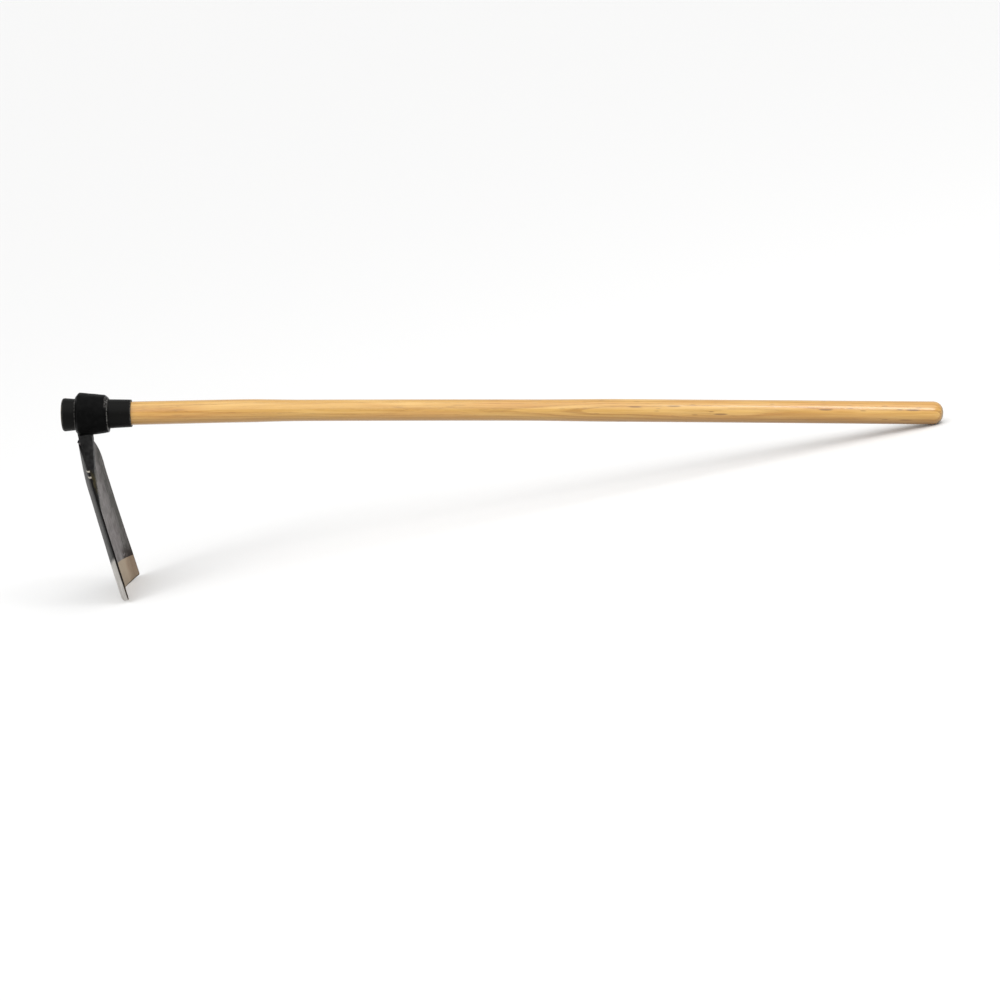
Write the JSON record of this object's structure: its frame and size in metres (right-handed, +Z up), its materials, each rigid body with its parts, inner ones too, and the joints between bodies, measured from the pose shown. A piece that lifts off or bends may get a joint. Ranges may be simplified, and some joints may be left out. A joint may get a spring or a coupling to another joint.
{
  "type": "eye hoe",
  "caption": "Long-handled eye hoe: a dished steel blade welded under a round eye, on an ash handle held by a tapered sleeve.",
  "frame": {"origin": "on the floor, under the middle of the tool's overall length, with the tool resting on its cutting edge and on the butt of its handle", "axes": "+X from the head towards the butt of the handle, along the floor; +Y across the blade; +Z up"},
  "size_m": [1.3452, 0.1524, 0.3269],
  "materials": {
    "ash": "clear gloss lacquer over straight-grained ash",
    "sleeve": "black moulded plastic, satin",
    "forging": "forged steel under thin black paint",
    "blade": "grey rolled plate, clear-coated, with a bare ground cutting edge",
    "weld": "rippled weld bead under thin black paint"
  },
  "bodies": {
    "root": {"shaft": "ash", "taper_sleeve": "sleeve", "eye_ring": "forging", "neck_and_tang": "forging", "blade": "blade", "eye_weld": "weld", "tang_weld_left": "weld", "tang_weld_right": "weld", "blade_top_weld": "weld"}
  },
  "joints": []
}
